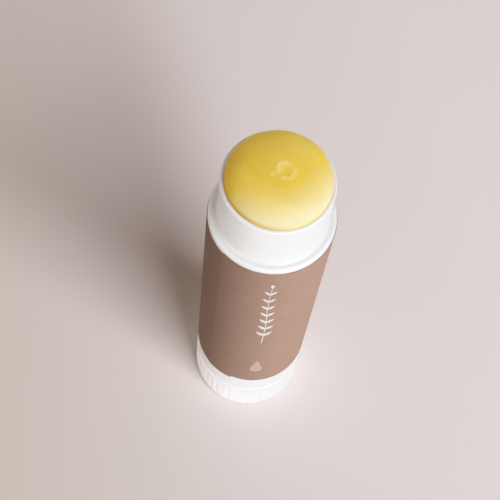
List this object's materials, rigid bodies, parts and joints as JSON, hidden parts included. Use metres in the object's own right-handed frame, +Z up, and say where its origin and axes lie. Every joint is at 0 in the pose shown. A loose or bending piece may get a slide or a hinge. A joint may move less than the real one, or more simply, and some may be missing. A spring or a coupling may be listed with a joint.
{
  "type": "lip balm stick",
  "caption": "Twist-up lip balm stick without its cap: a round tube whose dial turns a threaded spindle and raises a domed balm out of the neck.",
  "frame": {"origin": "on the tube's axis, at the surface the dial stands on", "axes": "+Z up along the tube's axis towards the balm; -Y is the side that faces the camera"},
  "size_m": [0.0162, 0.0162, 0.063],
  "materials": {
    "white_plastic": "smooth moulded, slightly glossy",
    "inner_plastic": "natural, slightly translucent",
    "label_film": "matte printed film",
    "balm_wax": "waxy"
  },
  "bodies": {
    "barrel": {"tube": "white_plastic", "label": "label_film"},
    "dial": {"dial_and_spindle": "white_plastic"},
    "elevator": {"elevator": "inner_plastic", "balm": "balm_wax"}
  },
  "joints": [
    {"name": "dial_turn", "type": "hinge", "parent": "barrel", "child": "dial", "pos_m": [0, 0, 0], "axis": [0, 0, 1], "range_deg": [0, 4680]},
    {"name": "balm_rise", "type": "slide", "parent": "barrel", "child": "elevator", "axis": [0, 0, 1], "range_m": [0, 0.039]}
  ],
  "couplings": [
    {"joint": "dial_turn", "follows": "balm_rise", "rad_per_m": 2094.4}
  ]
}
